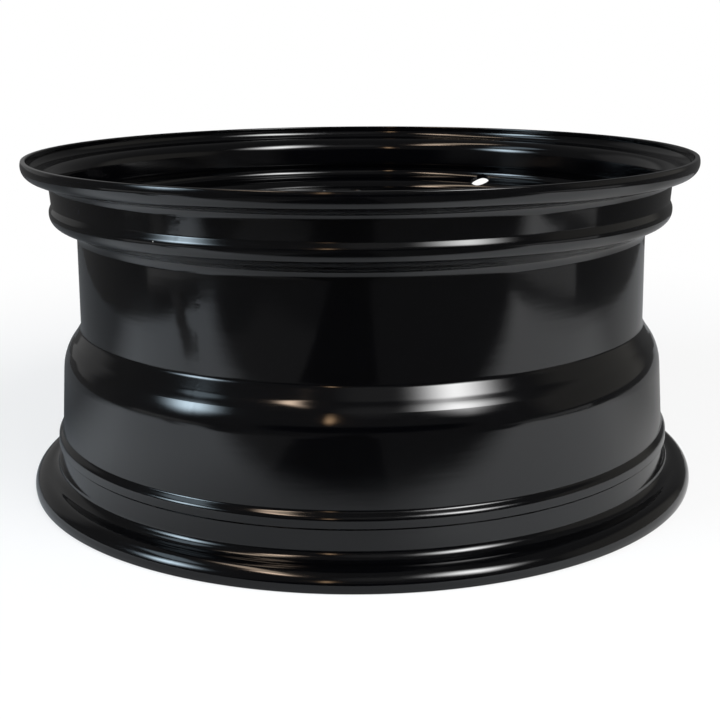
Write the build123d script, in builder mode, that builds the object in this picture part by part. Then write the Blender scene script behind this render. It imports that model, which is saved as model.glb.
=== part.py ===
"""Steel disc wheel for a car, without a tyre.

The axis is Z. The outboard side is up, and the inboard lip stands on Z = 0.
All sizes are in millimetres and degrees.
"""

import os
from math import atan2, cos, degrees, radians, sin, tan

from build123d import *

os.makedirs("parts", exist_ok=True)

# Rim size: bead seat diameter, width between the flanges and the flange form
seat_diameter = 436.6
rim_width = 203.2
rim_sheet = 3.4
flange_height = 17.5
flange_width = 13.0
flange_curl_bend = 6.1
flange_root_bend = 6.5
lip_lean = 12.0
lip_edge_radius = 0.9

# Bead seats and the safety humps beside them
seat_taper = 5.0
seat_width = 17.8
seat_crease_bend = 1.2
outboard_hump_height = 1.6
outboard_hump_run = 3.8
outboard_hump_width = 7.8
outboard_hump_bend = 1.6
outboard_edge_bend = 5.6
inboard_hump_height = 2.3
inboard_hump_run = 6.6
inboard_hump_bend = 0.6
inboard_foot_height = 1.5
inboard_foot_run = 3.8
inboard_foot_bend = 2.5

# Drop-centre well and the shoulder that leads to the barrel
well_depth = 17.9
well_width = 67.8
well_slope_run = 7.5
well_slope_bend = 8.0
well_corner_bend = 6.3
shoulder_height = 6.8
shoulder_run = 9.3
shoulder_bend = 73.0
barrel_rise = 4.6
barrel_run = 11.2
barrel_bend = 13.0

# Valve hole in the outboard slope of the well, at an angle from +X towards +Y
valve_hole_diameter = 15.9
valve_angle = 60.7

# Disc: plate, offset of its mounting face, centre bore and hub pad
disc_sheet = 5.0
wheel_offset = 31.0
centre_bore = 71.5
pad_radius = 78.0
pad_bend = 14.0
bowl_run = 20.0
bowl_rise = 17.0
bowl_bend = 15.0

# Disc: sloping face, crown and the skirt that seats in the well
face_slope = 11.0
crown_width = 24.0
crown_inner_bend = 25.0
crown_outer_bend = 15.0
skirt_fit = 0.1
skirt_inset = 47.0

# Disc: vent windows and lug seats
window_count = 10
window_margin = 8.0
window_depth = 34.0
window_outer_width = 44.0
window_inner_width = 32.0
window_corner_radius = 9.0
window_edge_radius = 0.8
lug_circle = 127.0
lug_count = 5
lug_hole_diameter = 16.0
lug_seat_diameter = 21.0
lug_seat_angle = 60.0
lug_boss_diameter = 29.0
lug_boss_height = 2.5
lug_boss_draft = 30.0

# Weld beads between the end of the skirt and the well
weld_count = 8
weld_length = 90.0
weld_leg = 4.5
weld_face_radius = 8.0

# Heights along the axis, from the inboard lip
overall_width = rim_width + 2 * flange_width
outboard_wall = overall_width - flange_width
outboard_toe = outboard_wall - seat_width
outboard_crest = outboard_toe - outboard_hump_run
outboard_edge = outboard_crest - outboard_hump_width
well_top = outboard_edge - well_slope_run
well_bottom = well_top - well_width
shoulder_end = well_bottom - shoulder_run
barrel_start = shoulder_end - barrel_run
inboard_toe = flange_width + seat_width
inboard_crest = inboard_toe + inboard_hump_run
inboard_foot = inboard_crest + inboard_foot_run
mounting_face = overall_width / 2 + wheel_offset
pad_face = mounting_face + disc_sheet
bowl_top = pad_face + bowl_rise
skirt_end = well_top - skirt_inset

# Radii from the axis
seat_radius = seat_diameter / 2
flange_radius = seat_radius + flange_height
toe_radius = seat_radius - seat_width * tan(radians(seat_taper))
outboard_hump = toe_radius + outboard_hump_height
inboard_hump = toe_radius + inboard_hump_height
well_radius = seat_radius - well_depth
well_inside = well_radius - rim_sheet
skirt_radius = well_inside - skirt_fit
crown_radius = skirt_radius - crown_width
bowl_radius = pad_radius + bowl_run
window_reach = crown_radius - window_margin

# The face climbs at its slope from the bowl to the crown
crown_top = bowl_top + (crown_radius - bowl_radius) * tan(radians(face_slope))

# The lip leans back past the top of the flange curl, so its corner lies outside the flange
curl_radius = flange_curl_bend + rim_sheet
curl_corner = flange_radius - curl_radius + curl_radius * tan(radians(45 + lip_lean / 2))
lip_radius = curl_corner - (flange_width + rim_sheet) * tan(radians(lip_lean))

# Tyre side of the rim from the outboard lip down, each corner with its inside bend radius
rim_corners = [
    ((lip_radius, overall_width + rim_sheet), 0),
    ((curl_corner, outboard_wall), flange_curl_bend),
    ((seat_radius, outboard_wall), flange_root_bend),
    ((toe_radius, outboard_toe), seat_crease_bend),
    ((outboard_hump, outboard_crest), outboard_hump_bend),
    ((outboard_hump, outboard_edge), outboard_edge_bend),
    ((well_radius, well_top), well_slope_bend),
    ((well_radius, well_bottom), well_corner_bend),
    ((well_radius + shoulder_height, shoulder_end), shoulder_bend),
    ((well_radius + shoulder_height + barrel_rise, barrel_start), barrel_bend),
    ((toe_radius - inboard_foot_height, inboard_foot), inboard_foot_bend),
    ((inboard_hump, inboard_crest), inboard_hump_bend),
    ((toe_radius, inboard_toe), seat_crease_bend),
    ((seat_radius, flange_width), flange_root_bend),
    ((curl_corner, flange_width), flange_curl_bend),
    ((lip_radius, -rim_sheet), 0),
]

# Outboard face of the disc from the centre bore out, each corner with its inside bend radius
disc_corners = [
    ((centre_bore / 2, pad_face), 0),
    ((pad_radius, pad_face), pad_bend),
    ((bowl_radius, bowl_top), bowl_bend),
    ((crown_radius, crown_top), crown_inner_bend),
    ((skirt_radius, crown_top), crown_outer_bend),
    ((skirt_radius, skirt_end), 0),
]


def bent_sheet(corners, sheet):
    """Draws the section of a bent sheet in the active line block.

    The corners follow the sheet's left face, each with the inside radius of its bend and 0 at
    the ends. The right face runs beside it, one sheet thickness away.
    """
    left = [Vector(*point) for point, bend in corners]
    runs = [(end - start).normalized() for start, end in zip(left, left[1:])]
    normals = [Vector(run.Y, -run.X) for run in runs]
    right = [left[0] + normals[0] * sheet]
    left_radii = []
    right_radii = []
    for corner, (before, after) in enumerate(zip(normals, normals[1:]), start=1):
        right.append(left[corner] + (before + after) * (sheet / (1 + before.dot(after))))
        bend = corners[corner][1]
        turns_right = before.cross(after).Z < 0
        left_radii.append(bend + sheet if turns_right else bend)
        right_radii.append(bend if turns_right else bend + sheet)
    right.append(left[-1] + normals[-1] * sheet)
    FilletPolyline(*left, radius=left_radii)
    FilletPolyline(*right, radius=right_radii)
    Line(left[0], right[0])
    Line(left[-1], right[-1])


with BuildPart() as rim_barrel:
    # One sheet of even thickness, trimmed flat at both lips and rolled round the axis
    with BuildSketch(Plane.XZ) as rim_section:
        with BuildLine():
            bent_sheet(rim_corners, rim_sheet)
        make_face()
        with Locations((0, overall_width / 2)):
            Rectangle(3 * flange_radius, overall_width, mode=Mode.INTERSECT)
        heights = rim_section.vertices().group_by(Axis.Y)
        fillet(heights[0] + heights[-1], lip_edge_radius)
    revolve(axis=Axis.Z)

    # Valve hole, square to the slope
    slope_lean = atan2(outboard_edge - well_top, outboard_hump - well_radius)
    slope_middle = Vector((outboard_hump + well_radius) / 2, 0, (outboard_edge + well_top) / 2)
    slope_normal = Vector(-sin(slope_lean), 0, cos(slope_lean))
    valve_plane = Plane(
        origin=slope_middle.rotate(Axis.Z, valve_angle),
        z_dir=slope_normal.rotate(Axis.Z, valve_angle),
    )
    with BuildSketch(valve_plane):
        Circle(valve_hole_diameter / 2)
    extrude(amount=4 * rim_sheet, both=True, mode=Mode.SUBTRACT)
rim_barrel.part.label = "rim_barrel"
export_step(rim_barrel.part, "parts/rim_barrel.step")

with BuildPart() as wheel_disc:
    # One pressed plate: hub pad, bowl, crown and the skirt that seats in the well
    with BuildSketch(Plane.XZ):
        with BuildLine():
            bent_sheet(disc_corners, disc_sheet)
        make_face()
    revolve(axis=Axis.Z)

    # Vent windows inside the crown, one of them in line with the valve hole
    with BuildSketch(Plane.XY.offset(crown_top)) as windows:
        with PolarLocations(window_reach - window_depth / 2, window_count, valve_angle):
            Polygon(
                (window_depth / 2, -window_outer_width / 2),
                (window_depth / 2, window_outer_width / 2),
                (-window_depth / 2, window_inner_width / 2),
                (-window_depth / 2, -window_inner_width / 2),
            )
        fillet(windows.vertices(), window_corner_radius)
    extrude(amount=mounting_face - crown_top, mode=Mode.SUBTRACT)
    window_edges = wheel_disc.edges(Select.LAST).filter_by(Axis.Z, reverse=True)
    fillet(window_edges, window_edge_radius)

    # Coined lug bosses with conical nut seats, two of them astride the line of the valve hole
    lug_start = valve_angle + 180 / lug_count
    with BuildSketch(Plane.XY.offset(pad_face)):
        with PolarLocations(lug_circle / 2, lug_count, lug_start):
            Circle(lug_boss_diameter / 2)
    extrude(amount=lug_boss_height, taper=lug_boss_draft)
    with Locations(Plane.XY.offset(pad_face + lug_boss_height)):
        with PolarLocations(lug_circle / 2, lug_count, lug_start):
            CounterSinkHole(
                lug_hole_diameter / 2,
                lug_seat_diameter / 2,
                depth=lug_boss_height + disc_sheet,
                counter_sink_angle=lug_seat_angle,
            )
wheel_disc.part.label = "wheel_disc"
export_step(wheel_disc.part, "parts/wheel_disc.step")

with BuildPart() as disc_welds:
    # Fillet beads in the corner between the end of the skirt and the well
    weld_arc = degrees(weld_length / well_inside)
    for index in range(weld_count):
        weld_start = valve_angle + index * 360 / weld_count
        with BuildSketch(Plane.XZ.rotated((0, 0, weld_start))):
            with BuildLine():
                weld_legs = Polyline(
                    (well_inside, skirt_end - weld_leg),
                    (well_inside, skirt_end),
                    (well_inside - weld_leg, skirt_end),
                )
                RadiusArc(weld_legs @ 1, weld_legs @ 0, -weld_face_radius)
            make_face()
        revolve(axis=Axis.Z, revolution_arc=weld_arc)
disc_welds.part.label = "disc_welds"
export_step(disc_welds.part, "parts/disc_welds.step")
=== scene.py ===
"""Gloss black steel disc wheel without a tyre, lying on its inboard lip in a small photo studio.

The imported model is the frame: the wheel's axis is +Z with the outboard side up, -Y faces the
camera. Sizes in the classes are millimetres and degrees, and become metres where a mesh is made.
"""

from __future__ import annotations

import logging
import math
from dataclasses import dataclass, field
from enum import Enum
from typing import Any, Callable, Mapping, Sequence, Union

import bmesh
import bpy
from mathutils import Matrix, Vector

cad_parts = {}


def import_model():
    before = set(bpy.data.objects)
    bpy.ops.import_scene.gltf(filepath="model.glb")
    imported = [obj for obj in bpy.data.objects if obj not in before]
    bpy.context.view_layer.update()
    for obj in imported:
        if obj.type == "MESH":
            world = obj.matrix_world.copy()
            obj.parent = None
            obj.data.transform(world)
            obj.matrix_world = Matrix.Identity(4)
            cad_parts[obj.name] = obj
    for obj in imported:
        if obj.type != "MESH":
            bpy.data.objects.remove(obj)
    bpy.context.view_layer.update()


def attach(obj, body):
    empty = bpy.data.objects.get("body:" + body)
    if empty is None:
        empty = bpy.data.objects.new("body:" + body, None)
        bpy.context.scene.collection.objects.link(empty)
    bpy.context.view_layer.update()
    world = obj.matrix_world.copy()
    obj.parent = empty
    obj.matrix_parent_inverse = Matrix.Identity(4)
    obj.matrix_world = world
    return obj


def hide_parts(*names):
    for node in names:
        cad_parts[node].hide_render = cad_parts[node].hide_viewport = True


log = logging.getLogger("wheel")

MM = 0.001
BODY = "root"
IMAGE_PIXELS = 720

# Meshing: step of a rounded corner, half angle of a corner that counts as straight, distance of the
# points that hold a run straight, turning rail, sides of round tools, merging and sharp edges
ARC_STEP = math.radians(7.0)
STRAIGHT = math.radians(89.9)
SUPPORT = 0.5
RAIL_RADIUS = 1.0
TOOL_SIDES = 96
MERGE_DISTANCE = 0.002
SHARP_ANGLE = math.radians(28.0)

# Stage: distances from the wheel in metres, and the point that lamps and cards are hung round
LAMP_DISTANCE = 2.0
CARD_DISTANCE = 6.0
WALL_DISTANCE = 7.0
AIM = Vector((0.0, 0.0, 0.1))
WHOLE_FLOOR = (-9000.0, -9000.0, 9000.0, 9000.0)

SMOOTH = {"interpolation_type": "SMOOTHSTEP"}
Feed = Union[bpy.types.Node, bpy.types.NodeSocket]
Given = Mapping[str, bpy.types.NodeSocket]
Box = tuple[float, float, float, float]
Span = tuple[float, float]


def linear(hex_code: str) -> tuple[float, float, float, float]:
    """Turns an sRGB hex colour into linear RGBA.

    Args:
        hex_code: Colour such as "#0a0a0b".

    Returns:
        Red, green and blue in linear light, with an alpha of 1.
    """
    channels = [int(hex_code[start : start + 2], 16) / 255 for start in (1, 3, 5)]
    light = [c / 12.92 if c <= 0.04045 else ((c + 0.055) / 1.055) ** 2.4 for c in channels]
    return (light[0], light[1], light[2], 1.0)


def add_node(
    tree: bpy.types.NodeTree,
    kind: str,
    settings: dict[str, Any] | str | None = None,
    inputs: dict[int | str, Any] | None = None,
) -> bpy.types.Node:
    """Adds one node with its settings, values and links.

    Args:
        tree: The tree that takes the node.
        kind: The node's type name.
        settings: Attributes of the node, or its operation alone.
        inputs: For each input socket, a value, or the socket or node that feeds it. A node feeds
            it from its first output in use.

    Returns:
        The new node.
    """
    node = tree.nodes.new(kind)
    if isinstance(settings, str):
        settings = {"operation": settings}
    for name, value in (settings or {}).items():
        setattr(node, name, value)
    for key, value in (inputs or {}).items():
        if isinstance(value, bpy.types.Node):
            value = next(socket for socket in value.outputs if socket.enabled)
        if isinstance(value, bpy.types.NodeSocket):
            tree.links.new(value, node.inputs[key])
        else:
            node.inputs[key].default_value = value
    return node


def ranged(
    value: Feed, source: Span, target: tuple[Any, Any] = (0.0, 1.0), unit: float = 1.0
) -> dict[int | str, Any]:
    """Gives the inputs of a node that maps one range to another.

    Args:
        value: What is mapped.
        source: Its range.
        target: The range that it is mapped to.
        unit: What the source is counted in.

    Returns:
        The inputs by name.
    """
    names = ("From Min", "From Max", "To Min", "To Max")
    ends = (source[0] * unit, source[1] * unit, *target)
    return {"Value": value, **dict(zip(names, ends))}


def link_object(name: str, data: bpy.types.ID) -> bpy.types.Object:
    """Puts mesh, lamp or camera data into the scene as an object of that name."""
    piece = bpy.data.objects.new(name, data)
    bpy.context.scene.collection.objects.link(piece)
    return piece


def blank_material(name: str) -> bpy.types.Material:
    """Makes a material with an empty tree."""
    material = bpy.data.materials.new(name)
    material.use_nodes = True
    material.node_tree.nodes.clear()
    return material


# Sections: outlines of bent sheet, as points of radius and height


def rounded_loop(corners: Sequence[tuple[Vector, float]]) -> list[Vector]:
    """Rounds the corners of a closed outline with arcs.

    Straight runs get a point close to each end, so that smooth shading keeps them straight.

    Args:
        corners: Each corner with the radius of its arc, 0 for a sharp one.

    Returns:
        The points of the outline in order.
    """
    arcs: list[list[Vector]] = []
    for index, (corner, radius) in enumerate(corners):
        back = (corners[index - 1][0] - corner).normalized()
        ahead = (corners[(index + 1) % len(corners)][0] - corner).normalized()
        half = back.angle(ahead) / 2
        if radius == 0 or half > STRAIGHT:
            arcs.append([corner.copy()])
            continue
        centre = corner + (back + ahead).normalized() * (radius / math.sin(half))
        arm = corner + back * (radius / math.tan(half)) - centre
        far = corner + ahead * (radius / math.tan(half)) - centre
        sweep = math.atan2(arm.x * far.y - arm.y * far.x, arm.dot(far))
        steps = max(2, math.ceil(abs(sweep) / ARC_STEP))
        turns = [Matrix.Rotation(sweep * step / steps, 2) for step in range(steps + 1)]
        arcs.append([centre + turn @ arm for turn in turns])
    points: list[Vector] = []
    for index, arc in enumerate(arcs):
        points.extend(arc)
        start, end = arc[-1], arcs[(index + 1) % len(arcs)][0]
        run = end - start
        if run.length > 3 * SUPPORT:
            points.append(start + run.normalized() * SUPPORT)
            points.append(end - run.normalized() * SUPPORT)
    return points


def at_height(start: Vector, end: Vector, height: float) -> Vector:
    """Gives the point of the line through start and end that lies at a height."""
    return start.lerp(end, (height - start.y) / (end.y - start.y))


@dataclass(frozen=True)
class BentSheet:
    """Section of a sheet of even thickness, bent at corners.

    Attributes:
        sheet: Thickness.
        corners: Radius and height of each corner of the left face with its inside bend radius.
        edge_radius: Rounding of the four edges at the ends.
        trim: Lowest and highest height that the ends are cut to, or None to keep them square.
        coined: Corners that stand in for a corner of the left face alone, each with its radius.
    """

    sheet: float
    corners: tuple[tuple[float, float, float], ...]
    edge_radius: float
    trim: Span | None = None
    coined: dict[int, list[tuple[Vector, float]]] = field(default_factory=dict)

    def outline(self) -> list[Vector]:
        """Gives the closed outline of the section."""
        left = [Vector((r, z)) for r, z, bend in self.corners]
        runs = [(end - start).normalized() for start, end in zip(left, left[1:])]
        normals = [Vector((run.y, -run.x)) for run in runs]
        right = [left[0] + normals[0] * self.sheet]
        left_radii = [self.edge_radius]
        right_radii = [self.edge_radius]
        for corner, (before, after) in enumerate(zip(normals, normals[1:]), start=1):
            across = self.sheet / (1 + before.dot(after))
            right.append(left[corner] + (before + after) * across)
            bend = self.corners[corner][2]
            turns_right = before.x * after.y - before.y * after.x < 0
            left_radii.append(bend + self.sheet if turns_right else bend)
            right_radii.append(bend if turns_right else bend + self.sheet)
        right.append(left[-1] + normals[-1] * self.sheet)
        left_radii.append(self.edge_radius)
        right_radii.append(self.edge_radius)
        if self.trim:
            low, high = self.trim
            for face in (left, right):
                face[0] = at_height(face[0], face[1], high)
                face[-1] = at_height(face[-2], face[-1], low)
        loop = []
        for corner, plain in enumerate(zip(left, left_radii)):
            loop += self.coined.get(corner, [plain])
        return rounded_loop(loop + list(zip(right[::-1], right_radii[::-1])))


# Geometry Nodes: carrying a section round the axis, and cutting patterns into the turned piece


class Cut(Enum):
    """What a pattern of tools does to the turned piece."""

    ADD = "UNION"
    REMOVE = "DIFFERENCE"


@dataclass(frozen=True)
class Pattern:
    """Copies of one tool, spaced evenly round the axis.

    Attributes:
        name: Name of the pattern's inputs.
        tool: Closed mesh of the tool, in its place at angle 0.
        cut: What it does to the piece.
        count: Number of copies.
        start: Angle of the first copy.
    """

    name: str
    tool: bpy.types.Object
    cut: Cut
    count: int
    start: float

    def inputs(self) -> dict[str, tuple[str, Any]]:
        """Gives the pattern's inputs by name, with their kinds of socket and values."""
        return {
            f"{self.name} tool": ("Object", self.tool),
            f"{self.name} count": ("Int", self.count),
            f"{self.name} start": ("Float", math.radians(self.start)),
        }


def swept(tree: bpy.types.NodeTree, section: Feed, rail: Feed, capped: bool) -> bpy.types.Node:
    """Adds the nodes that carry a section upright along a rail.

    Args:
        tree: The tree that takes the nodes.
        section: Mesh of the section's outline.
        rail: Curve that it is carried along.
        capped: Whether the ends are closed.

    Returns:
        The node that gives the mesh.
    """
    upright = add_node(tree, "GeometryNodeSetCurveNormal", {"mode": "Z_UP"}, {"Curve": rail})
    profile = add_node(tree, "GeometryNodeMeshToCurve", inputs={"Mesh": section})
    return add_node(
        tree,
        "GeometryNodeCurveToMesh",
        inputs={"Curve": upright, "Profile Curve": profile, "Fill Caps": capped},
    )


def spread_round(tree: bpy.types.NodeTree, shape: Feed, count: Feed, start: Feed) -> bpy.types.Node:
    """Adds the nodes that copy a shape evenly round the axis.

    Args:
        tree: The tree that takes the nodes.
        shape: Geometry to copy.
        count: Number of copies.
        start: Angle of the first copy, in radians.

    Returns:
        The node that gives the copies as real geometry.
    """
    spots = add_node(tree, "GeometryNodePoints", inputs={"Count": count})
    step = add_node(tree, "ShaderNodeMath", "DIVIDE", {0: 2 * math.pi, 1: count})
    index = add_node(tree, "GeometryNodeInputIndex")
    angle = add_node(tree, "ShaderNodeMath", "MULTIPLY_ADD", {0: index, 1: step, 2: start})
    turn = add_node(tree, "ShaderNodeCombineXYZ", inputs={"Z": angle})
    copies = add_node(
        tree,
        "GeometryNodeInstanceOnPoints",
        inputs={"Points": spots, "Instance": shape, "Rotation": turn},
    )
    return add_node(tree, "GeometryNodeRealizeInstances", inputs={"Geometry": copies})


def turned(tree: bpy.types.NodeTree, given: Given, patterns: Sequence[Pattern]) -> Feed:
    """Adds the nodes that turn a section round the axis and apply patterns of tools to it.

    Args:
        tree: The tree that takes the nodes.
        given: The tree's inputs.
        patterns: The patterns, in the order in which they are applied.

    Returns:
        The node that gives the piece.
    """
    rail = add_node(
        tree,
        "GeometryNodeCurvePrimitiveCircle",
        inputs={"Resolution": given["Segments"], "Radius": RAIL_RADIUS * MM},
    )
    piece = swept(tree, given["Section"], rail, False)
    for pattern in patterns:
        held, count, start = (given[name] for name in pattern.inputs())
        tool = add_node(tree, "GeometryNodeObjectInfo", inputs={"Object": held})
        joined = add_node(
            tree,
            "GeometryNodeMeshBoolean",
            {"operation": pattern.cut.value, "solver": "MANIFOLD"},
            {"Mesh 2": spread_round(tree, tool.outputs["Geometry"], count, start)},
        )
        place = "Mesh 1" if pattern.cut is Cut.REMOVE else "Mesh 2"
        tree.links.new(piece.outputs["Mesh"], joined.inputs[place])
        piece = joined
    return piece


def baked(name: str, source: bpy.types.Object) -> bpy.types.Object:
    """Turns an object with modifiers into a plain smooth mesh and removes the source.

    Args:
        name: Name of the finished piece.
        source: Object whose modifiers give the shape.

    Returns:
        The finished piece, with sharp edges kept sharp.
    """
    bpy.context.view_layer.update()
    evaluated = source.evaluated_get(bpy.context.evaluated_depsgraph_get())
    mesh = bpy.data.meshes.new_from_object(evaluated)
    bpy.data.objects.remove(source)
    shape = bmesh.new()
    shape.from_mesh(mesh)
    bmesh.ops.remove_doubles(shape, verts=shape.verts, dist=MERGE_DISTANCE * MM)
    bmesh.ops.recalc_face_normals(shape, faces=shape.faces)
    for side in shape.faces:
        side.smooth = True
    shape.to_mesh(mesh)
    shape.free()
    mesh.set_sharp_from_angle(angle=SHARP_ANGLE)
    mesh.name = name
    return link_object(name, mesh)


def shaped(
    name: str,
    loop: Sequence[Span],
    inputs: dict[str, tuple[str, Any]],
    add_shape: Callable[[bpy.types.NodeTree, Given], Feed],
    material: bpy.types.Material,
) -> bpy.types.Object:
    """Shapes a piece from its section with a Geometry Nodes tree and gives a plain mesh.

    Args:
        name: Name of the piece.
        loop: Closed outline of the section, in metres.
        inputs: The tree's inputs by name, with their kinds of socket and values.
        add_shape: Adds the nodes that shape the piece to a tree with these inputs.
        material: Finish of the piece.

    Returns:
        The finished piece.
    """
    tree = bpy.data.node_groups.new(f"{name}_shaping", "GeometryNodeTree")
    face = tree.interface
    face.new_socket("Section", in_out="INPUT", socket_type="NodeSocketGeometry")
    sockets = {
        label: face.new_socket(label, in_out="INPUT", socket_type=f"NodeSocket{kind}").identifier
        for label, (kind, value) in inputs.items()
    }
    face.new_socket("Piece", in_out="OUTPUT", socket_type="NodeSocketGeometry")
    shape = add_shape(tree, add_node(tree, "NodeGroupInput").outputs)
    whole = add_node(tree, "GeometryNodeRealizeInstances", inputs={"Geometry": shape})
    dressed = add_node(
        tree, "GeometryNodeSetMaterial", inputs={"Geometry": whole, "Material": material}
    )
    add_node(tree, "NodeGroupOutput", inputs={"Piece": dressed})
    mesh = bpy.data.meshes.new(f"{name}_section")
    edges = [(i, (i + 1) % len(loop)) for i in range(len(loop))]
    mesh.from_pydata([(x, y, 0.0) for x, y in loop], edges, [])
    source = link_object(f"{name}_section", mesh)
    modifier = source.modifiers.new("shaping", "NODES")
    modifier.node_group = tree
    for label, (kind, value) in inputs.items():
        modifier[sockets[label]] = value
    return baked(name, source)


def turned_piece(
    name: str,
    section: BentSheet,
    segments: int,
    patterns: Sequence[Pattern],
    material: bpy.types.Material,
) -> bpy.types.Object:
    """Turns a section round the axis, applies the patterns and gives a plain mesh.

    Args:
        name: Name of the piece.
        section: Section of the piece.
        segments: Number of steps round the axis.
        patterns: Patterns of tools that add to or cut the piece.
        material: Finish of the piece.

    Returns:
        The finished piece.
    """
    loop = [(point.x * MM - RAIL_RADIUS * MM, -point.y * MM) for point in section.outline()]
    inputs: dict[str, tuple[str, Any]] = {"Segments": ("Int", segments)}
    for pattern in patterns:
        inputs.update(pattern.inputs())
    piece = shaped(
        name, loop, inputs, lambda tree, given: turned(tree, given, patterns), material
    )
    for pattern in patterns:
        bpy.data.objects.remove(pattern.tool)
    return piece


def stacked_tool(name: str, rings: Sequence[Sequence[Vector]]) -> bpy.types.Object:
    """Makes a closed tool from rings of points with equal counts, capped at both ends.

    Args:
        name: Name of the tool.
        rings: Rings from one end to the other, in millimetres.

    Returns:
        The tool as an object.
    """
    shape = bmesh.new()
    loops = [[shape.verts.new(point * MM) for point in ring] for ring in rings]
    for lower, upper in zip(loops, loops[1:]):
        for i in range(len(lower)):
            j = (i + 1) % len(lower)
            shape.faces.new((lower[i], lower[j], upper[j], upper[i]))
    shape.faces.new(loops[0][::-1])
    shape.faces.new(loops[-1])
    bmesh.ops.recalc_face_normals(shape, faces=shape.faces)
    mesh = bpy.data.meshes.new(name)
    shape.to_mesh(mesh)
    shape.free()
    return link_object(name, mesh)


def round_tool(name: str, steps: Sequence[Span], place: Matrix) -> bpy.types.Object:
    """Makes a closed round tool.

    Args:
        name: Name of the tool.
        steps: Radius and distance along the tool's axis of each ring.
        place: Where the tool's axis lies, in millimetres.

    Returns:
        The tool as an object.
    """
    angles = [2 * math.pi * side / TOOL_SIDES for side in range(TOOL_SIDES)]
    rings = [
        [place @ Vector((radius * math.cos(a), radius * math.sin(a), along)) for a in angles]
        for radius, along in steps
    ]
    return stacked_tool(name, rings)


# Finishes


@dataclass(frozen=True)
class Grain:
    """Size in millimetres and detail of a noise pattern."""

    size: float
    detail: float

    def at(self, place: Feed) -> dict[int | str, Any]:
        """Gives the inputs of the pattern's node at a position."""
        return {"Vector": place, "Scale": 1 / (self.size * MM), "Detail": self.detail}


@dataclass(frozen=True)
class Nick:
    """A chip in the paint: where it lies, in millimetres, and how wide it is."""

    place: tuple[float, float, float]
    width: float


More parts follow.
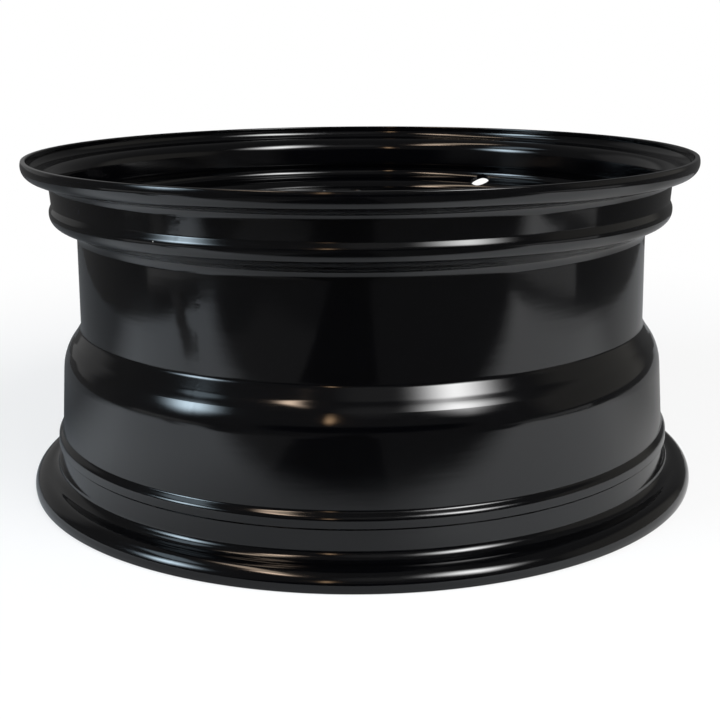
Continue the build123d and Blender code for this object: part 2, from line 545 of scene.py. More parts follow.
@dataclass(frozen=True)
class GlossBlackPaint:
    """Baked black enamel over rolled and pressed steel.

    A thick glossy coat: nearly black by itself, so the eye sees the room mirrored in it. Orange
    peel and the shallow waves that rolling leaves round the wheel break the mirrored edges, a thin
    haze softens them unevenly, a faint line shows the seam of the rolled ring, and a few chips show
    pale primer.
    """

    colour: str = "#020203"
    primer_colour: str = "#b9b4aa"
    ior: float = 1.5
    roughness: Span = (0.07, 0.14)
    haze: Grain = Grain(55.0, 4.0)
    haze_span: Span = (0.35, 0.7)
    peel: Grain = Grain(3.2, 1.0)
    peel_height: float = 0.003
    wave_length: float = 9.0
    wave_stretch: float = 9.0
    wave_detail: float = 2.5
    wave_height: float = 0.035
    seam_angle: float = 28.8
    seam_width: float = 8.0
    seam_height: float = 0.06
    seam_lumps: Grain = Grain(5.0, 3.0)
    seam_radius: float = 196.0
    nick_edge: Grain = Grain(1.2, 2.0)
    nicks: tuple[Nick, ...] = (
        Nick((-170.6, -163.0, 8.0), 1.6),
        Nick((-116.5, -174.4, 107.6), 1.0),
        Nick((-121.0, -181.6, 194.2), 0.9),
    )

    def material(self) -> bpy.types.Material:
        """Makes the paint's material."""
        paint = blank_material("baked_black_enamel")
        tree = paint.node_tree
        place = add_node(tree, "ShaderNodeTexCoord").outputs["Object"]
        haze = add_node(tree, "ShaderNodeTexNoise", inputs=self.haze.at(place))
        gloss = add_node(
            tree, "ShaderNodeMapRange", inputs=ranged(haze, self.haze_span, self.roughness)
        )
        shader = add_node(
            tree,
            "ShaderNodeBsdfPrincipled",
            inputs={
                "Base Color": self._chipped(tree, place),
                "Roughness": gloss,
                "IOR": self.ior,
                "Normal": self._relief(tree, place),
            },
        )
        add_node(tree, "ShaderNodeOutputMaterial", inputs={"Surface": shader})
        return paint

    def _relief(self, tree: bpy.types.NodeTree, place: Feed) -> Feed:
        """Lays orange peel and the seam over the waves of the sheet.

        Args:
            tree: The paint's tree.
            place: Position on the piece.

        Returns:
            The normal of the uneven surface.
        """
        round_scale = 1 / (self.wave_length * self.wave_stretch * MM)
        stretched = add_node(
            tree,
            "ShaderNodeMapping",
            inputs={
                "Vector": place,
                "Scale": (round_scale, round_scale, 1 / (self.wave_length * MM)),
            },
        )
        waves = add_node(
            tree,
            "ShaderNodeTexNoise",
            inputs={"Vector": stretched, "Scale": 1.0, "Detail": self.wave_detail},
        )
        relief = add_node(
            tree, "ShaderNodeBump", inputs={"Distance": self.wave_height * MM, "Height": waves}
        )
        peel = add_node(tree, "ShaderNodeTexNoise", inputs=self.peel.at(place))
        seam = self._seam(tree, place)
        for height, form in ((self.peel_height, peel), (self.seam_height, seam)):
            relief = add_node(
                tree,
                "ShaderNodeBump",
                inputs={"Distance": height * MM, "Height": form, "Normal": relief},
            )
        return relief

    def _seam(self, tree: bpy.types.NodeTree, place: Feed) -> Feed:
        """Raises the ground butt weld that closes the rolled ring, left of the middle in front.

        Args:
            tree: The paint's tree.
            place: Position on the piece.

        Returns:
            The height of the seam, from 0 to 1.
        """
        turn = math.radians(self.seam_angle)
        outward = (-math.sin(turn), -math.cos(turn), 0.0)
        aside = (math.cos(turn), -math.sin(turn), 0.0)
        reach, off = (
            add_node(tree, "ShaderNodeVectorMath", "DOT_PRODUCT", {0: place, 1: way})
            for way in (outward, aside)
        )
        on_ring = add_node(
            tree, "ShaderNodeMath", "GREATER_THAN", {0: reach, 1: self.seam_radius * MM}
        )
        gap = add_node(tree, "ShaderNodeMath", "ABSOLUTE", {0: off})
        flank = (self.seam_width / 2, 0.0)
        crest = add_node(tree, "ShaderNodeMapRange", SMOOTH, ranged(gap, flank, unit=MM))
        height = add_node(tree, "ShaderNodeTexNoise", inputs=self.seam_lumps.at(place))
        for share in (crest, on_ring):
            height = add_node(tree, "ShaderNodeMath", "MULTIPLY", {0: share, 1: height})
        return height

    def _chipped(self, tree: bpy.types.NodeTree, place: Feed) -> Feed:
        """Shows primer where the paint is chipped.

        Args:
            tree: The paint's tree.
            place: Position on the piece.

        Returns:
            The colour of the surface.
        """
        ragged = add_node(tree, "ShaderNodeTexNoise", inputs=self.nick_edge.at(place))
        colour: Any = linear(self.colour)
        for nick in self.nicks:
            centre = tuple(axis * MM for axis in nick.place)
            away = add_node(tree, "ShaderNodeVectorMath", "DISTANCE", {0: place, 1: centre})
            reach = add_node(tree, "ShaderNodeMath", "MULTIPLY", {0: ragged, 1: nick.width * MM})
            bare = add_node(tree, "ShaderNodeMath", "LESS_THAN", {0: away, 1: reach})
            colour = add_node(
                tree,
                "ShaderNodeMix",
                {"data_type": "RGBA"},
                {"Factor": bare, 6: colour, 7: linear(self.primer_colour)},
            )
        return colour


# The wheel's pieces


def placed(piece: bpy.types.Object, node: str) -> bpy.types.Object:
    """Lets a finished piece stand for a node and ride with the wheel."""
    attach(piece, BODY)
    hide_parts(node)
    log.info("%s: %d faces", piece.name, len(piece.data.polygons))
    return piece


@dataclass(frozen=True)
class RimBarrel:
    """Rolled rim: flanges, tapered seats, humps, drop-centre well and shoulder as one sheet."""

    seat_diameter: float = 436.6
    rim_width: float = 203.2
    sheet: float = 3.4
    flange_height: float = 17.5
    flange_width: float = 13.0
    flange_curl_bend: float = 6.1
    flange_root_bend: float = 6.5
    lip_lean: float = 12.0
    lip_edge_radius: float = 0.9
    seat_taper: float = 5.0
    seat_width: float = 17.8
    seat_crease_bend: float = 1.2
    outboard_hump_height: float = 1.6
    outboard_hump_run: float = 3.8
    outboard_hump_width: float = 7.8
    outboard_hump_bend: float = 1.6
    outboard_edge_bend: float = 5.6
    inboard_hump_height: float = 2.3
    inboard_hump_run: float = 6.6
    inboard_hump_bend: float = 0.6
    inboard_foot_height: float = 1.5
    inboard_foot_run: float = 3.8
    inboard_foot_bend: float = 2.5
    ledge_height: float = 1.8
    ledge_rise: float = 1.25
    ledge_taper: float = 2.7
    ledge_edge_radius: float = 0.9
    ledge_crease_radius: float = 0.8
    well_depth: float = 17.9
    well_width: float = 67.7
    well_slope_run: float = 7.5
    well_slope_bend: float = 8.0
    well_corner_bend: float = 5.0
    crease_rise: float = 4.7
    crease_run: float = 7.6
    crease_bend: float = 13.0
    shoulder_rise: float = 3.0
    shoulder_run: float = 4.0
    shoulder_bend: float = 23.5
    barrel_rise: float = 4.4
    barrel_run: float = 8.4
    barrel_bend: float = 31.0
    valve_hole_diameter: float = 15.9
    valve_angle: float = 60.7
    segments: int = 250

    @property
    def overall_width(self) -> float:
        """Width over both lips."""
        return self.rim_width + 2 * self.flange_width

    @property
    def seat_radius(self) -> float:
        """Radius of the seats at the flanges."""
        return self.seat_diameter / 2

    @property
    def toe_radius(self) -> float:
        """Radius of the seats at the humps."""
        return self.seat_radius - self.seat_width * math.tan(math.radians(self.seat_taper))

    @property
    def well_radius(self) -> float:
        """Radius of the well on the tyre side."""
        return self.seat_radius - self.well_depth

    @property
    def outboard_edge(self) -> Span:
        """Radius and height where the outboard hump ends and the slope of the well begins."""
        reach = self.seat_width + self.outboard_hump_run + self.outboard_hump_width
        height = self.overall_width - self.flange_width - reach
        return (self.toe_radius + self.outboard_hump_height, height)

    @property
    def well_top(self) -> float:
        """Height of the outboard end of the well."""
        return self.outboard_edge[1] - self.well_slope_run

    def section(self) -> BentSheet:
        """Gives the rim's section from the outboard lip down."""
        wall = self.overall_width - self.flange_width
        curl = self.flange_curl_bend + self.sheet
        lean = math.radians(self.lip_lean)
        corner = self.seat_radius + self.flange_height - curl
        corner += curl * math.tan(math.radians(45) + lean / 2)
        lip = corner - (self.flange_width + self.sheet) * math.tan(lean)
        hump, edge = self.outboard_edge
        well, well_bottom = self.well_radius, self.well_top - self.well_width
        crease, crease_end = well + self.crease_rise, well_bottom - self.crease_run
        shoulder, shoulder_end = crease + self.shoulder_rise, crease_end - self.shoulder_run
        toe_radius, toe = self.toe_radius, self.flange_width + self.seat_width
        crest = toe + self.inboard_hump_run
        foot = crest + self.inboard_foot_run
        corners = (
            (lip, self.overall_width + self.sheet, 0),
            (corner, wall, self.flange_curl_bend),
            (self.seat_radius, wall, self.flange_root_bend),
            (toe_radius, wall - self.seat_width, self.seat_crease_bend),
            (hump, edge + self.outboard_hump_width, self.outboard_hump_bend),
            (hump, edge, self.outboard_edge_bend),
            (well, self.well_top, self.well_slope_bend),
            (well, well_bottom, self.well_corner_bend),
            (crease, crease_end, self.crease_bend),
            (shoulder, shoulder_end, self.shoulder_bend),
            (shoulder + self.barrel_rise, shoulder_end - self.barrel_run, self.barrel_bend),
            (toe_radius - self.inboard_foot_height, foot, self.inboard_foot_bend),
            (toe_radius + self.inboard_hump_height, crest, self.inboard_hump_bend),
            (toe_radius, toe, self.seat_crease_bend),
            (self.seat_radius, self.flange_width, self.flange_root_bend),
            (corner, self.flange_width, self.flange_curl_bend),
            (lip, -self.sheet, 0),
        )
        trim = (0.0, self.overall_width)
        return BentSheet(self.sheet, corners, self.lip_edge_radius, trim, self._ledge(corners))

    def _ledge(
        self, corners: tuple[tuple[float, float, float], ...]
    ) -> dict[int, list[tuple[Vector, float]]]:
        """Gives the inboard hump its crisp lower edge on the tyre side.

        Args:
            corners: Corners of the section, which end with foot, crest, toe, seat, flange and lip.

        Returns:
            The corners that stand in for the crest and the toe.
        """
        last = len(corners)
        foot, crest, toe = (Vector(corner[:2]) for corner in corners[last - 6 : last - 3])
        edge = toe + Vector((self.ledge_height, self.ledge_rise))
        climb = crest - foot
        slope = math.tan(math.radians(self.ledge_taper))
        share = (edge.x - slope * (foot.y - edge.y) - foot.x) / (climb.x + slope * climb.y)
        top = foot + climb * share
        return {
            last - 5: [(top, self.inboard_hump_bend + self.sheet)],
            last - 4: [(edge, self.ledge_edge_radius), (toe, self.ledge_crease_radius)],
        }

    def valve_tool(self) -> bpy.types.Object:
        """Makes the tool that pierces the slope of the well square to it, at angle 0."""
        hump, edge = self.outboard_edge
        lean = math.atan2(edge - self.well_top, hump - self.well_radius)
        middle = Vector(((hump + self.well_radius) / 2, 0.0, (edge + self.well_top) / 2))
        place = Matrix.Translation(middle) @ Matrix.Rotation(-lean, 4, "Y")
        radius = self.valve_hole_diameter / 2
        reach = 4 * self.sheet
        return round_tool("valve_hole_tool", [(radius, -reach), (radius, reach)], place)

    def build(self, paint: bpy.types.Material) -> bpy.types.Object:
        """Makes the rim and puts it in its node's place.

        Args:
            paint: Finish of the rim.

        Returns:
            The finished piece.
        """
        hole = Pattern("Valve hole", self.valve_tool(), Cut.REMOVE, 1, self.valve_angle)
        piece = turned_piece("rolled_rim", self.section(), self.segments, [hole], paint)
        return placed(piece, "rim_barrel")


@dataclass(frozen=True)
class WheelDisc:
    """Pressed disc: hub pad, bowl, sloping face with vent windows, crown and skirt.

    The steps of the window's edge are shares of its radius: how far outside the window and how
    deep under the face. Tools reach past the sheet by their overreach.
    """

    rim: RimBarrel
    sheet: float = 5.0
    wheel_offset: float = 31.0
    centre_bore: float = 71.5
    pad_radius: float = 78.0
    pad_bend: float = 14.0
    bowl_run: float = 20.0
    bowl_rise: float = 17.0
    bowl_bend: float = 15.0
    face_slope: float = 11.0
    crown_width: float = 24.0
    crown_inner_bend: float = 25.0
    crown_outer_bend: float = 15.0
    skirt_fit: float = 0.1
    skirt_inset: float = 47.0
    edge_radius: float = 0.3
    window_count: int = 10
    window_margin: float = 8.0
    window_depth: float = 34.0
    window_outer_width: float = 44.0
    window_inner_width: float = 32.0
    window_corner_radius: float = 9.0
    window_edge_radius: float = 0.8
    window_edge_steps: tuple[Span, ...] = (
        (3.0, -2.0),
        (0.95, 0.02),
        (0.45, 0.18),
        (0.18, 0.45),
        (0.0, 1.0),
    )
    lug_circle: float = 127.0
    lug_count: int = 5
    lug_hole_diameter: float = 16.0
    lug_seat_diameter: float = 21.0
    lug_seat_angle: float = 60.0
    lug_overreach: float = 2.0
    lug_boss_diameter: float = 29.0
    lug_boss_height: float = 2.5
    lug_boss_draft: float = 30.0
    lug_boss_overreach: float = 1.0
    segments: int = 320

    @property
    def mounting_face(self) -> float:
        """Height of the face that meets the hub."""
        return self.rim.overall_width / 2 + self.wheel_offset

    @property
    def pad_face(self) -> float:
        """Height of the pad's outboard face."""
        return self.mounting_face + self.sheet

    @property
    def skirt_radius(self) -> float:
        """Outside radius of the skirt."""
        return self.rim.well_radius - self.rim.sheet - self.skirt_fit

    @property
    def skirt_end(self) -> float:
        """Height of the skirt's free end."""
        return self.rim.well_top - self.skirt_inset

    @property
    def bowl_radius(self) -> float:
        """Radius where the bowl meets the sloping face."""
        return self.pad_radius + self.bowl_run

    @property
    def crown_radius(self) -> float:
        """Radius where the sloping face meets the crown."""
        return self.skirt_radius - self.crown_width

    def face_height(self, radius: float) -> float:
        """Height of the sloping face at a radius, on the outboard side."""
        climb = (radius - self.bowl_radius) * math.tan(math.radians(self.face_slope))
        return self.pad_face + self.bowl_rise + climb

    def section(self) -> BentSheet:
        """Gives the disc's section from the centre bore out."""
        crown_top = self.face_height(self.crown_radius)
        corners = (
            (self.centre_bore / 2, self.pad_face, 0),
            (self.pad_radius, self.pad_face, self.pad_bend),
            (self.bowl_radius, self.pad_face + self.bowl_rise, self.bowl_bend),
            (self.crown_radius, crown_top, self.crown_inner_bend),
            (self.skirt_radius, crown_top, self.crown_outer_bend),
            (self.skirt_radius, self.skirt_end, 0),
        )
        return BentSheet(self.sheet, corners, self.edge_radius)

    def window_tool(self) -> bpy.types.Object:
        """Makes the tool of a vent window with eased edges, at angle 0."""
        reach = self.crown_radius - self.window_margin
        outer, inner = self.window_outer_width / 2, self.window_inner_width / 2
        back = reach - self.window_depth
        frame = ((reach, -outer), (reach, outer), (back, inner), (back, -inner))
        loop = rounded_loop([(Vector(corner), self.window_corner_radius) for corner in frame])
        ahead = loop[1:] + loop[:1]
        behind = loop[-1:] + loop[:-1]
        ways = [(after - before).normalized() for before, after in zip(behind, ahead)]
        drop = self.sheet / math.cos(math.radians(self.face_slope))
        ease = self.window_edge_radius
        steps = [(grow * ease, depth * ease) for grow, depth in self.window_edge_steps]
        rings = [self._window_ring(loop, ways, grow, -depth) for grow, depth in steps]
        for grow, depth in reversed(steps):
            rings.append(self._window_ring(loop, ways, grow, depth - drop))
        return stacked_tool("window_tool", rings)

    def _window_ring(
        self, loop: Sequence[Vector], ways: Sequence[Vector], grow: float, rise: float
    ) -> list[Vector]:
        """Gives one ring of the window's tool.

        Args:
            loop: The window's outline in plan.
            ways: Direction of the outline at each point.
            grow: How far the ring lies outside the outline.
            rise: Height of the ring over the sloping face.

        Returns:
            The ring's points.
        """
        ring = []
        for point, way in zip(loop, ways):
            spot = point + Vector((way.y, -way.x)) * grow
            ring.append(Vector((spot.x, spot.y, self.face_height(spot.length) + rise)))
        return ring

    def boss_tool(self) -> bpy.types.Object:
        """Makes a coined lug boss, at angle 0."""
        base, top, sink = self.lug_boss_diameter / 2, self.lug_boss_height, self.lug_boss_overreach
        draft = math.tan(math.radians(self.lug_boss_draft))
        steps = [(base + sink * draft, -sink), (base - top * draft, top)]
        place = Matrix.Translation((self.lug_circle / 2, 0.0, self.pad_face))
        return round_tool("lug_boss_tool", steps, place)

    def lug_tool(self) -> bpy.types.Object:
        """Makes the tool of a lug hole with its conical nut seat, at angle 0."""
        hole, seat = self.lug_hole_diameter / 2, self.lug_seat_diameter / 2
        slope = math.tan(math.radians(self.lug_seat_angle / 2))
        top, over = self.lug_boss_height, self.lug_overreach
        depth = (seat - hole) / slope
        steps = [
            (hole, -self.sheet - over),
            (hole, top - depth),
            (seat + over * slope, top + over),
        ]
        place = Matrix.Translation((self.lug_circle / 2, 0.0, self.pad_face))
        return round_tool("lug_hole_tool", steps, place)

    def build(self, paint: bpy.types.Material) -> bpy.types.Object:
        """Makes the disc and puts it in its node's place.

        Args:
            paint: Finish of the disc.

        Returns:
            The finished piece.
        """
        start = self.rim.valve_angle
        lug_start = start + 180 / self.lug_count
        patterns = [
            Pattern("Window", self.window_tool(), Cut.REMOVE, self.window_count, start),
            Pattern("Lug boss", self.boss_tool(), Cut.ADD, self.lug_count, lug_start),
            Pattern("Lug hole", self.lug_tool(), Cut.REMOVE, self.lug_count, lug_start),
        ]
        piece = turned_piece("pressed_disc", self.section(), self.segments, patterns, paint)
        return placed(piece, "wheel_disc")


@dataclass(frozen=True)
class WeldBeads:
    """Fillet beads with a slightly domed face that join the end of the skirt to the well."""

    disc: WheelDisc
    count: int = 8
    length: float = 90.0
    leg: float = 4.5
    crown: float = 0.6
    face_steps: int = 8
    length_steps: int = 180

    def section(self) -> list[Vector]:
        """Gives the outline of a bead from the corner that it fills."""
        start, end = Vector((-self.leg, 0.0)), Vector((0.0, self.leg))
        bulge = Vector((-1.0, 1.0)).normalized() * self.crown
        shares = [step / self.face_steps for step in range(self.face_steps + 1)]
        face = [start.lerp(end, share) + bulge * math.sin(math.pi * share) for share in shares]
        return [Vector((0.0, 0.0)), *face]

    @staticmethod
    def _laid(tree: bpy.types.NodeTree, given: Given) -> Feed:
        """Adds the nodes that lay beads along arcs round the axis.

        Args:
            tree: The tree that takes the nodes.
            given: The tree's inputs.

        Returns:
            The node that gives the beads.
        """
        arc = add_node(
            tree,
            "GeometryNodeCurveArc",
            inputs={
                "Resolution": given["Points"],
                "Radius": given["Radius"],
                "Start Angle": 0.0,
                "Sweep Angle": given["Sweep"],
            },
        )
        bead = swept(tree, given["Section"], arc, True)
        lift = add_node(tree, "ShaderNodeCombineXYZ", inputs={"Z": given["Height"]})
        raised = add_node(
            tree, "GeometryNodeTransform", inputs={"Geometry": bead, "Translation": lift}
        )
        return spread_round(tree, raised, given["Count"], given["Start"])

    def build(self, paint: bpy.types.Material) -> bpy.types.Object:
        """Makes the beads and puts them in their node's place.

        Args:
            paint: Finish of the beads.

        Returns:
            The finished piece.
        """
        radius = self.disc.rim.well_radius - self.disc.rim.sheet
        inputs = {
            "Radius": ("Float", radius * MM),
            "Sweep": ("Float", self.length / radius),
            "Height": ("Float", self.disc.skirt_end * MM),
            "Start": ("Float", math.radians(self.disc.rim.valve_angle)),
            "Points": ("Int", self.length_steps + 1),
            "Count": ("Int", self.count),
        }
        loop = [(point.x * MM, point.y * MM) for point in self.section()]
        return placed(shaped("weld_beads", loop, inputs, self._laid, paint), "disc_welds")


# The stage


class Facing(Enum):
    """Which rays see a stage object."""

    CAMERA_SIDE = "camera, diffuse and shadow rays"
    MIRROR_SIDE = "glossy rays alone"

    def apply(self, stage: bpy.types.Object) -> None:
        """Sets the object's ray visibility."""
        shown = self is Facing.CAMERA_SIDE
        for ray in ("camera", "diffuse", "shadow", "transmission", "volume_scatter"):
            setattr(stage, f"visible_{ray}", shown)
        stage.visible_glossy = not shown


def staged(
    name: str, mesh: bpy.types.Mesh, material: bpy.types.Material, facing: Facing
) -> bpy.types.Object:
    """Puts a mesh on the stage.

    Args:
        name: Name of the stage object.
        mesh: Its mesh.
        material: Its material.
        facing: Which rays see it.

    Returns:
        The stage object.
    """
    mesh.materials.append(material)
    stage = link_object(name, mesh)
    facing.apply(stage)
    return stage


def rectangle(name: str, box: Box, height: float = 0.0) -> bpy.types.Mesh:
    """Makes a flat rectangle.

    Args:
        name: Name of the mesh.
        box: Lowest x and y and highest x and y, in millimetres.
        height: Height in millimetres.

    Returns:
        The mesh.
    """
    low_x, low_y, high_x, high_y = box
    corners = ((low_x, low_y), (high_x, low_y), (high_x, high_y), (low_x, high_y))
    mesh = bpy.data.meshes.new(name)
    mesh.from_pydata([(x * MM, y * MM, height * MM) for x, y in corners], [], [(0, 1, 2, 3)])
    return mesh


def glow(name: str, brightness: float) -> bpy.types.Material:
    """Makes a stage material of even brightness."""
    material = blank_material(name)
    tree = material.node_tree
    shader = add_node(tree, "ShaderNodeEmission", inputs={"Strength": brightness})
    add_node(tree, "ShaderNodeOutputMaterial", inputs={"Surface": shader})
    return material


def background_rays(tree: bpy.types.NodeTree) -> Feed:
    """Adds the nodes that tell whether a camera, glossy or transmission ray sees the background."""
    path = add_node(tree, "ShaderNodeLightPath").outputs
    seen: Feed = path["Is Camera Ray"]
    for ray in ("Is Glossy Ray", "Is Transmission Ray"):
        seen = add_node(tree, "ShaderNodeMath", "MAXIMUM", {0: seen, 1: path[ray]})
    return seen


@dataclass(frozen=True)
class WhiteFloor:
    """White paper that the camera sees with a soft shadow by the wheel.

    Attributes:
        colour: Colour of the paper.
        fade: Radii between which the paper turns to plain white.
        share: Share of plain white close to the wheel.
    """

    colour: str = "#f4f4f4"
    fade: Span = (300.0, 900.0)
    share: float = 0.72

    def material(self) -> bpy.types.Material:
        """Makes the floor's material."""
        material = blank_material("white_floor")
        tree = material.node_tree
        place = add_node(tree, "ShaderNodeTexCoord").outputs["Object"]
        radius = add_node(tree, "ShaderNodeVectorMath", "LENGTH", {0: place})
        plain = add_node(
            tree, "ShaderNodeMapRange", SMOOTH, ranged(radius, self.fade, (self.share, 1.0), MM)
        )
        factor = add_node(tree, "ShaderNodeMath", "MULTIPLY", {0: plain, 1: background_rays(tree)})
        paper = add_node(tree, "ShaderNodeBsdfDiffuse", inputs={"Color": linear(self.colour)})
        white = add_node(tree, "ShaderNodeEmission", inputs={"Strength": 1.0})
        mixed = add_node(tree, "ShaderNodeMixShader", inputs={0: factor, 1: paper, 2: white})
        add_node(tree, "ShaderNodeOutputMaterial", inputs={"Surface": mixed})
        return material


@dataclass(frozen=True)
class MirroredPaper:
    """White paper as the paint mirrors it, with painted shade before and behind the wheel and
    painted light to the sides.

    Attributes:
        colour: Colour of the paper.
        middle_level: Share of the colour before the wheel, painted shade.
        sides: For the left and the right, where painted light brightens the paper and the share it
            comes to.
        back_span: From left to right, where the paper behind the wheel changes.
        back_levels: Shares of the colour at these places, painted shade behind the wheel.
        behind: Where the paper before the wheel passes into the paper behind it.
        edge: Where the paper's front edge begins and ends to cover the room's floor.
        bow: How much the front edge bows, per metre.
    """

    colour: str = "#f4f4f4"
    middle_level: float = 0.52
    sides: tuple[tuple[Span, float], ...] = (((-100.0, -400.0), 0.95), ((0.0, 150.0), 0.9))
    back_span: Span = (-300.0, 300.0)
    back_levels: Span = (0.22, 0.5)
    behind: Span = (-100.0, 120.0)
    edge: Span = (-465.0, -350.0)
    bow: float = 0.3

    def material(self) -> bpy.types.Material:
        """Makes the paper's material."""
        material = blank_material("mirrored_paper")
        tree = material.node_tree
        spot = add_node(tree, "ShaderNodeTexCoord").outputs["Object"]
        place = add_node(tree, "ShaderNodeSeparateXYZ", inputs={0: spot}).outputs
        tone = add_node(
            tree,
            "ShaderNodeVectorMath",
            "SCALE",
            {0: linear(self.colour)[:3], "Scale": self._level(tree, place)},
        )
        bow = add_node(tree, "ShaderNodeMath", "MULTIPLY", {0: place["X"], 1: place["X"]})
        inward = add_node(
            tree, "ShaderNodeMath", "MULTIPLY_ADD", {0: bow, 1: self.bow, 2: place["Y"]}
        )
        cover = add_node(tree, "ShaderNodeMapRange", SMOOTH, ranged(inward, self.edge, unit=MM))
        paper = add_node(tree, "ShaderNodeBsdfDiffuse", inputs={"Color": tone})
        clear = add_node(tree, "ShaderNodeBsdfTransparent")
        shader = add_node(tree, "ShaderNodeMixShader", inputs={0: cover, 1: clear, 2: paper})
        add_node(tree, "ShaderNodeOutputMaterial", inputs={"Surface": shader})
        return material

    def _level(self, tree: bpy.types.NodeTree, place: Given) -> Feed:
        """Works out the share of the paper's colour, which paints its light and shade.

        Args:
            tree: The paper's tree.
            place: Coordinates on the paper.

        Returns:
            The share.
        """
        left, right = (
            add_node(
                tree,
                "ShaderNodeMapRange",
                SMOOTH,
                ranged(place["X"], span, (self.middle_level, level), MM),
            )
            for span, level in self.sides
        )
        across = add_node(tree, "ShaderNodeMath", "MAXIMUM", {0: left, 1: right})
        back = add_node(
            tree,
            "ShaderNodeMapRange",
            inputs=ranged(place["X"], self.back_span, self.back_levels, MM),
        )
        behind = add_node(
            tree, "ShaderNodeMapRange", SMOOTH, ranged(place["Y"], self.behind, (1.0, back), MM)
        )
        return add_node(tree, "ShaderNodeMath", "MULTIPLY", {0: across, 1: behind})


@dataclass(frozen=True)
class Bearing:
    """Direction from the wheel, in degrees from the camera's side and of elevation."""

    azimuth: float
    elevation: float

    def hang(self, thing: bpy.types.Object, distance: float, tilt: float = 0.0) -> None:
        """Hangs an object with its +Z side away from the wheel.

        Args:
            thing: The object.
            distance: How far from the wheel it hangs, in metres.
            tilt: Turn in its own plane.
        """
        turn, rise = math.radians(self.azimuth), math.radians(self.elevation)
        out = math.cos(rise)
        way = Vector((math.sin(turn) * out, -math.cos(turn) * out, math.sin(rise)))
        level = Vector((0.0, 0.0, 1.0)).cross(way).normalized()
        facing = Matrix((level, way.cross(level), way)).transposed().to_4x4()
        spin = Matrix.Rotation(math.radians(tilt), 4, "Z")
        thing.matrix_world = Matrix.Translation(AIM + way * distance) @ facing @ spin


@dataclass(frozen=True)
class Lamp:
    """Round lamp that lights the floor and isn't mirrored, with its width and power in watts."""

    name: str
    bearing: Bearing
    width: float
    power: float
    colour: str

    def build(self) -> None:
        """Hangs the lamp."""
        data = bpy.data.lights.new(self.name, "AREA")
        data.shape = "DISK"
        data.size = self.width * MM
        data.energy = self.power
        data.color = linear(self.colour)[:3]
        light = link_object(self.name, data)
        self.bearing.hang(light, LAMP_DISTANCE)
        light.visible_glossy = False


@dataclass(frozen=True)
class MirrorCard:
    """Soft-edged glowing face that the paint mirrors.

    Attributes:
        name: Name of the card.
        bearing: Where it hangs.
        span: Width and height as angles seen from the wheel.
        brightness: Brightness of its middle.
        colour: Colour of its light.
        squareness: 2 for an ellipse, more for a squarer form.
        softness: Share of the way to the edge over which it fades.
        tilt: Turn in its own plane.
        distance: How far from the wheel it hangs, in metres.
    """

    name: str
    bearing: Bearing
    span: Span
    brightness: float
    colour: str
    squareness: float
    softness: float
    tilt: float = 0.0
    distance: float = CARD_DISTANCE

    @property
    def half(self) -> Span:
        """Half of its width and height, in metres."""
        width, height = (self.distance * math.tan(math.radians(angle / 2)) for angle in self.span)
        return (width, height)

    def material(self) -> bpy.types.Material:
        """Makes the card's material."""
        material = blank_material(self.name)
        tree = material.node_tree
        spot = add_node(tree, "ShaderNodeTexCoord").outputs["Object"]
        place = add_node(tree, "ShaderNodeSeparateXYZ", inputs={0: spot}).outputs
        powers = []
        for axis, reach in zip("XY", self.half):
            power: Feed = place[axis]
            steps = (("DIVIDE", reach), ("ABSOLUTE", 0.0), ("POWER", self.squareness))
            for step, other in steps:
                power = add_node(tree, "ShaderNodeMath", step, {0: power, 1: other})
            powers.append(power)
        total = add_node(tree, "ShaderNodeMath", "ADD", dict(enumerate(powers)))
        rim = add_node(tree, "ShaderNodeMath", "POWER", {0: total, 1: 1 / self.squareness})
        fall = ranged(rim, (1.0 - self.softness, 1.0), (1.0, 0.0))
        fade = add_node(tree, "ShaderNodeMapRange", SMOOTH, fall)
        strength = add_node(tree, "ShaderNodeMath", "MULTIPLY", {0: fade, 1: self.brightness})
        light = add_node(
            tree, "ShaderNodeEmission", inputs={"Color": linear(self.colour), "Strength": strength}
        )
        clear = add_node(tree, "ShaderNodeBsdfTransparent")
        mixed = add_node(tree, "ShaderNodeMixShader", inputs={0: fade, 1: clear, 2: light})
        add_node(tree, "ShaderNodeOutputMaterial", inputs={"Surface": mixed})
        return material

    def build(self) -> None:
        """Hangs the card."""
        width, height = (half / MM for half in self.half)
        mesh = rectangle(self.name, (-width, -height, width, height))
        card = staged(self.name, mesh, self.material(), Facing.MIRROR_SIDE)
        self.bearing.hang(card, self.distance, self.tilt)


@dataclass(frozen=True)
class FloorPlate:
    """Part of the room's floor of even brightness that the paint mirrors."""

    name: str
    box: Box
    height: float
    brightness: float

    def build(self) -> None:
        """Lays the plate."""
        mesh = rectangle(self.name, self.box, self.height)
        staged(self.name, mesh, glow(self.name, self.brightness), Facing.MIRROR_SIDE)


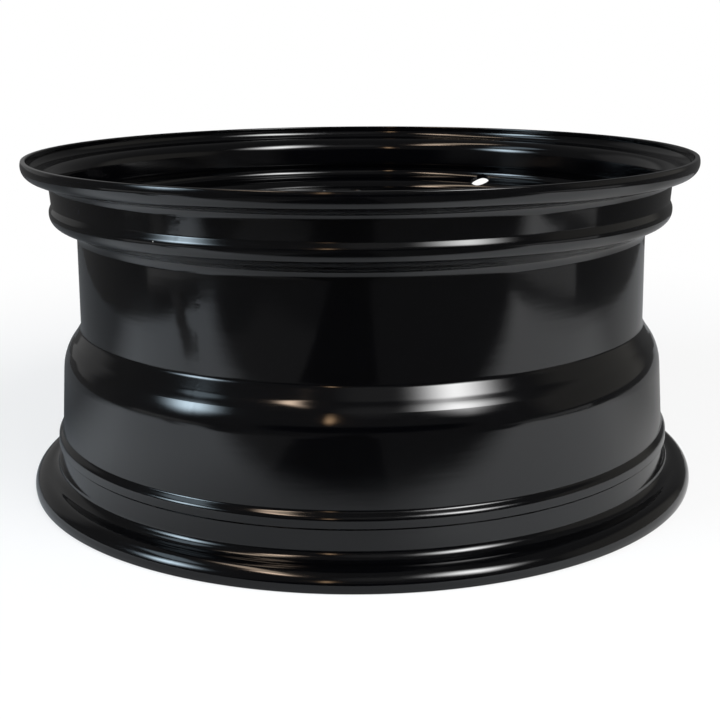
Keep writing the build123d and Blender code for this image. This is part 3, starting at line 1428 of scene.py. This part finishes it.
@dataclass(frozen=True)
class Studio:
    """Floor, lamps, room and camera.

    Directions are degrees round the wheel from the camera's side, positive to the right, and
    degrees of elevation. Brightness counts a lit white sheet as 1. The room's radius is in metres.
    """

    focal_pixels: float = 1280.2
    principal_x: float = 385.0
    principal_y: float = 250.0
    camera_distance: float = 914.4
    camera_height: float = 314.0
    camera_pitch: float = 9.744
    camera_yaw: float = 1.035
    camera_roll: float = 0.239
    sensor: float = 36.0
    floor_height: float = -0.2
    sheet_box: Box = (-760.0, -800.0, 760.0, 900.0)
    sheet_height: float = -0.1
    room_radius: float = 12.0
    room_segments: tuple[int, int] = (64, 32)
    room_brightness: float = 0.1
    fill_strength: float = 0.25
    lamps: tuple[Lamp, ...] = (
        Lamp("left_lamp", Bearing(-66.0, 30.0), 1200.0, 25.0, "#dceeff"),
        Lamp("right_lamp", Bearing(40.0, 42.0), 1600.0, 43.0, "#ffffff"),
    )
    cards: tuple[MirrorCard, ...] = (
        MirrorCard("left_softbox", Bearing(-66.0, 21.0), (38.0, 39.0), 20.0, "#daf0ff", 1.6, 1.0),
        MirrorCard(
            "left_upper_softbox", Bearing(-84.0, 46.0), (34.0, 17.0), 2.4, "#daf0ff", 4.0, 0.5,
            tilt=-22.0,
        ),
        MirrorCard("right_softbox", Bearing(40.0, 40.0), (46.0, 54.0), 23.0, "#ffffff", 1.5, 1.0),
        MirrorCard(
            "strip_light_far", Bearing(-74.0, 67.0), (46.0, 9.0), 6.0, "#ffe6cc", 4.0, 0.5,
            tilt=-12.0,
        ),
        MirrorCard(
            "strip_light_near", Bearing(-41.0, 55.0), (34.0, 11.0), 19.0, "#ffe2c8", 2.0, 0.9,
            tilt=-34.0,
        ),
        MirrorCard("doorway", Bearing(-12.0, 22.0), (6.5, 26.0), 7.0, "#ffd2a4", 2.0, 0.9),
        MirrorCard(
            "right_wall", Bearing(98.0, 12.0), (84.0, 64.0), 0.26, "#fffcf4", 3.0, 0.5,
            distance=WALL_DISTANCE,
        ),
        MirrorCard(
            "left_wall", Bearing(-142.0, 14.0), (70.0, 60.0), 0.24, "#ffffff", 3.0, 0.5,
            distance=WALL_DISTANCE,
        ),
        MirrorCard(
            "front_gloom", Bearing(0.0, 5.0), (84.0, 15.0), 0.015, "#dde6ff", 4.0, 0.4,
            distance=WALL_DISTANCE,
        ),
        MirrorCard(
            "front_wall", Bearing(4.0, 40.0), (40.0, 44.0), 0.25, "#ffffff", 2.4, 0.7,
            distance=WALL_DISTANCE,
        ),
    )
    plates: tuple[FloorPlate, ...] = (
        # A darker strip laid on the mirrored paper, left of the wheel and before it.
        FloorPlate("stand_leg", (-900.0, -385.0, -560.0, -320.0), 0.0, 0.2),
        FloorPlate("room_floor", WHOLE_FLOOR, -5.0, 0.09),
        FloorPlate("room_floor_dark", (-210.0, -3000.0, 50.0, -400.0), -4.0, 0.03),
        FloorPlate("room_floor_front", (-520.0, -800.0, -210.0, -400.0), -4.0, 0.16),
        FloorPlate("room_floor_right", (900.0, -900.0, 1700.0, -150.0), -4.0, 0.5),
        FloorPlate("room_floor_left", (-1700.0, -900.0, -1000.0, -150.0), -4.0, 0.5),
    )

    def build(self) -> None:
        """Sets up the stage."""
        self.camera()
        for light in (*self.lamps, *self.cards):
            light.build()
        self.floor()
        self.room()
        self.world()
        bpy.context.scene.view_settings.view_transform = "Standard"

    def camera(self) -> None:
        """Makes the camera at the photo's place."""
        data = bpy.data.cameras.new("camera")
        data.sensor_width = self.sensor
        data.lens = self.focal_pixels * self.sensor / IMAGE_PIXELS
        data.shift_x = (IMAGE_PIXELS / 2 - self.principal_x) / IMAGE_PIXELS
        data.shift_y = (self.principal_y - IMAGE_PIXELS / 2) / IMAGE_PIXELS
        angles = (self.camera_yaw, self.camera_pitch, self.camera_roll)
        yaw, pitch, roll = (math.radians(angle) for angle in angles)
        level = Vector((math.cos(yaw), -math.sin(yaw), 0.0))
        forward = Vector((math.sin(yaw), math.cos(yaw), 0.0))
        ahead = forward * math.cos(pitch) - Vector((0.0, 0.0, math.sin(pitch)))
        upright = level.cross(ahead)
        right = level * math.cos(roll) - upright * math.sin(roll)
        up = level * math.sin(roll) + upright * math.cos(roll)
        turn = Matrix((right, up, -ahead)).transposed().to_4x4()
        place = Vector((0.0, -self.camera_distance, self.camera_height)) * MM
        camera = link_object("camera", data)
        camera.matrix_world = Matrix.Translation(place) @ turn
        bpy.context.scene.camera = camera

    def floor(self) -> None:
        """Lays the pale floor that the camera sees and the floors that the paint mirrors."""
        floor = rectangle("floor", WHOLE_FLOOR, self.floor_height)
        staged("floor", floor, WhiteFloor().material(), Facing.CAMERA_SIDE)
        sheet = rectangle("sheet", self.sheet_box, self.sheet_height)
        staged("sheet", sheet, MirroredPaper().material(), Facing.MIRROR_SIDE)
        for plate in self.plates:
            plate.build()

    def room(self) -> None:
        """Closes the room with a dim dome that only the paint mirrors."""
        round_steps, up_steps = self.room_segments
        shape = bmesh.new()
        bmesh.ops.create_uvsphere(
            shape, u_segments=round_steps, v_segments=up_steps, radius=self.room_radius
        )
        bmesh.ops.reverse_faces(shape, faces=shape.faces)
        mesh = bpy.data.meshes.new("room")
        shape.to_mesh(mesh)
        shape.free()
        staged("room", mesh, glow("room_wall", self.room_brightness), Facing.MIRROR_SIDE)

    def world(self) -> None:
        """Makes the world white where it is seen, and a dim fill elsewhere."""
        world = bpy.data.worlds.new("studio_white")
        bpy.context.scene.world = world
        world.use_nodes = True
        tree = world.node_tree
        tree.nodes.clear()
        fill, shown = (
            add_node(
                tree,
                "ShaderNodeBackground",
                inputs={"Color": linear("#ffffff"), "Strength": strength},
            )
            for strength in (self.fill_strength, 1.0)
        )
        seen = background_rays(tree)
        mixed = add_node(tree, "ShaderNodeMixShader", inputs={0: seen, 1: fill, 2: shown})
        add_node(tree, "ShaderNodeOutputWorld", inputs={"Surface": mixed})


def main() -> None:
    """Loads the frame and builds the wheel and the studio."""
    logging.basicConfig(level=logging.INFO, format="%(name)s: %(message)s")
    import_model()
    paint = GlossBlackPaint().material()
    rim = RimBarrel()
    rim.build(paint)
    disc = WheelDisc(rim)
    disc.build(paint)
    WeldBeads(disc).build(paint)
    Studio().build()


if __name__ == "__main__":
    main()
